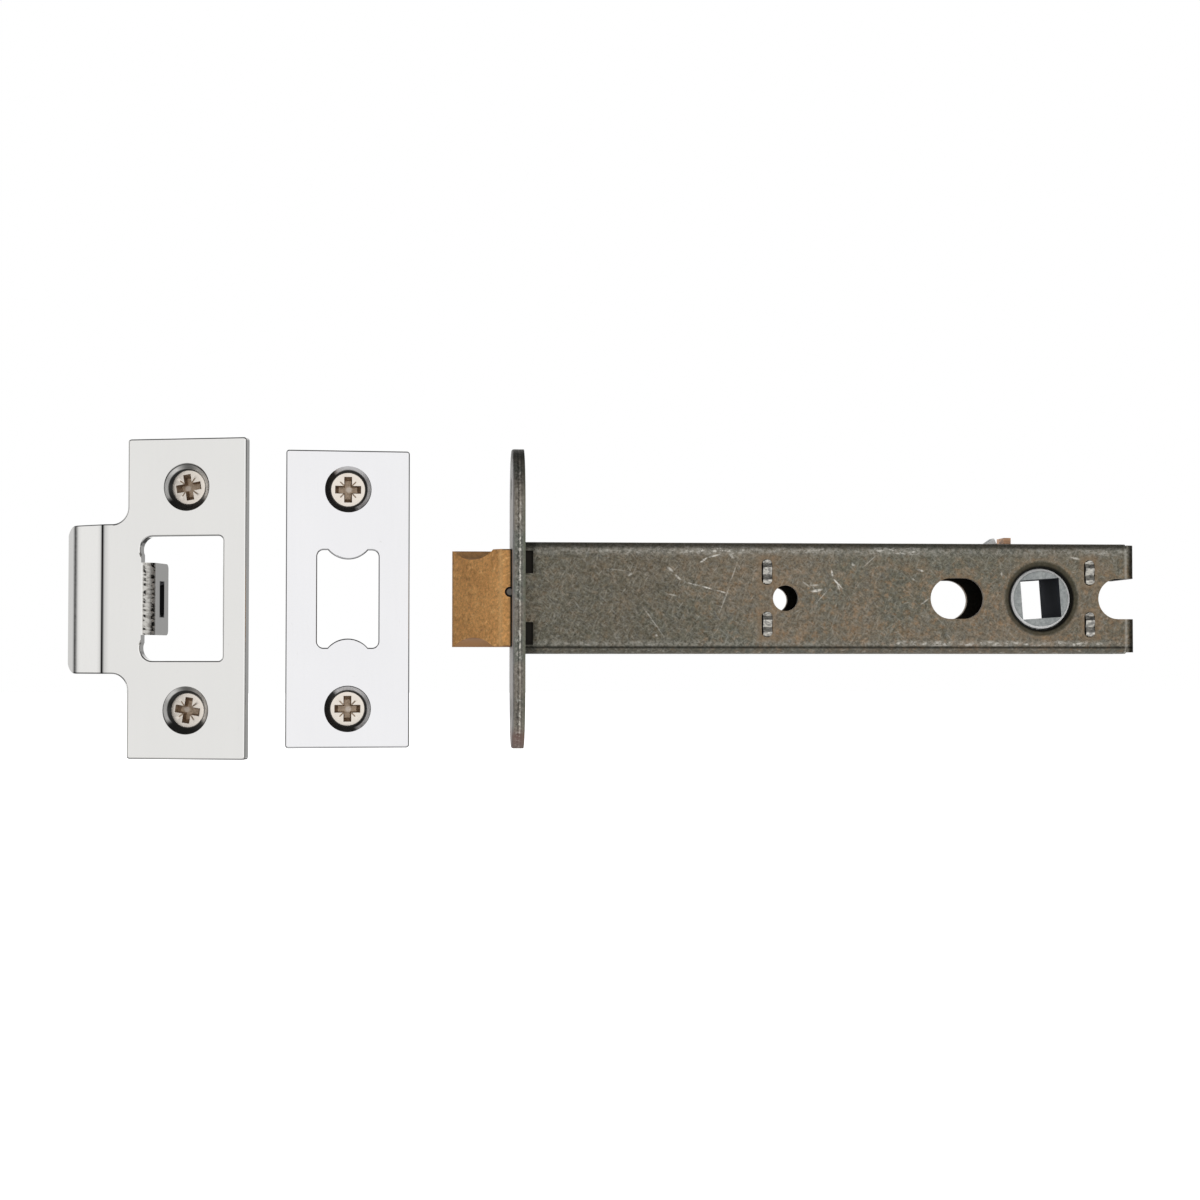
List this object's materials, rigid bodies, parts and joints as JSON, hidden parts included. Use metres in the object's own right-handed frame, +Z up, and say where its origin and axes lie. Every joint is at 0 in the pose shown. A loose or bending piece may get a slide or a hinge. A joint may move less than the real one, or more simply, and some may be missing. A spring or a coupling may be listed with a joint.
{
  "type": "tubular door latch",
  "caption": "Tubular mortice latch with a bevelled spring bolt, folded steel case and sprung follower, with its plated cover plate, strike plate and wood screws.",
  "frame": {"origin": "centre of the forend's front face, midway between its two screw holes", "axes": "+X from the forend into the door along the case, +Y across the door's thickness away from the bolt's bevel, +Z up along the door's edge"},
  "size_m": [0.2194, 0.0376, 0.0654],
  "materials": {
    "case_steel": "brown passivated sheet steel, mottled and scratched",
    "forend_steel": "dark passivated plate with worn edges",
    "stake_steel": "punched steel with bright staked ends",
    "spring_steel": "drawn spring wire",
    "bolt_brass": "dull brown brass",
    "pin_steel": "dark pin",
    "tail_steel": "coppered strip",
    "follower_zinc": "granular grey die casting",
    "plate_chrome": "polished plated steel",
    "screw_nickel": "warm nickel plate"
  },
  "bodies": {
    "case": {"case_shell": "case_steel", "case_cover": "case_steel", "forend_plate": "forend_steel", "spring_abutment": "stake_steel", "rear_spacer": "stake_steel", "follower_spring": "spring_steel", "bolt_spring": "spring_steel", "cover_plate": "plate_chrome", "cover_plate_screws": "screw_nickel", "strike_plate": "plate_chrome", "strike_plate_screws": "screw_nickel"},
    "bolt": {"latch_bolt": "bolt_brass", "bolt_pin": "pin_steel", "tail_bar": "tail_steel"},
    "follower": {"follower": "follower_zinc"}
  },
  "joints": [
    {"name": "follower_turn", "type": "hinge", "parent": "case", "child": "follower", "pos_m": [0.108, 0, 0], "axis": [0, 1, 0], "range_deg": [0, 53], "deforming": ["follower_spring"]},
    {"name": "bolt_slide", "type": "slide", "parent": "case", "child": "bolt", "axis": [1, 0, 0], "range_m": [0, 0.012], "stiffness_N_per_m": 350, "springref_m": -0.012, "deforming": ["bolt_spring"]}
  ],
  "couplings": [
    {"joint": "follower_turn", "follows": "bolt_slide", "rad_per_m": 77.08}
  ]
}
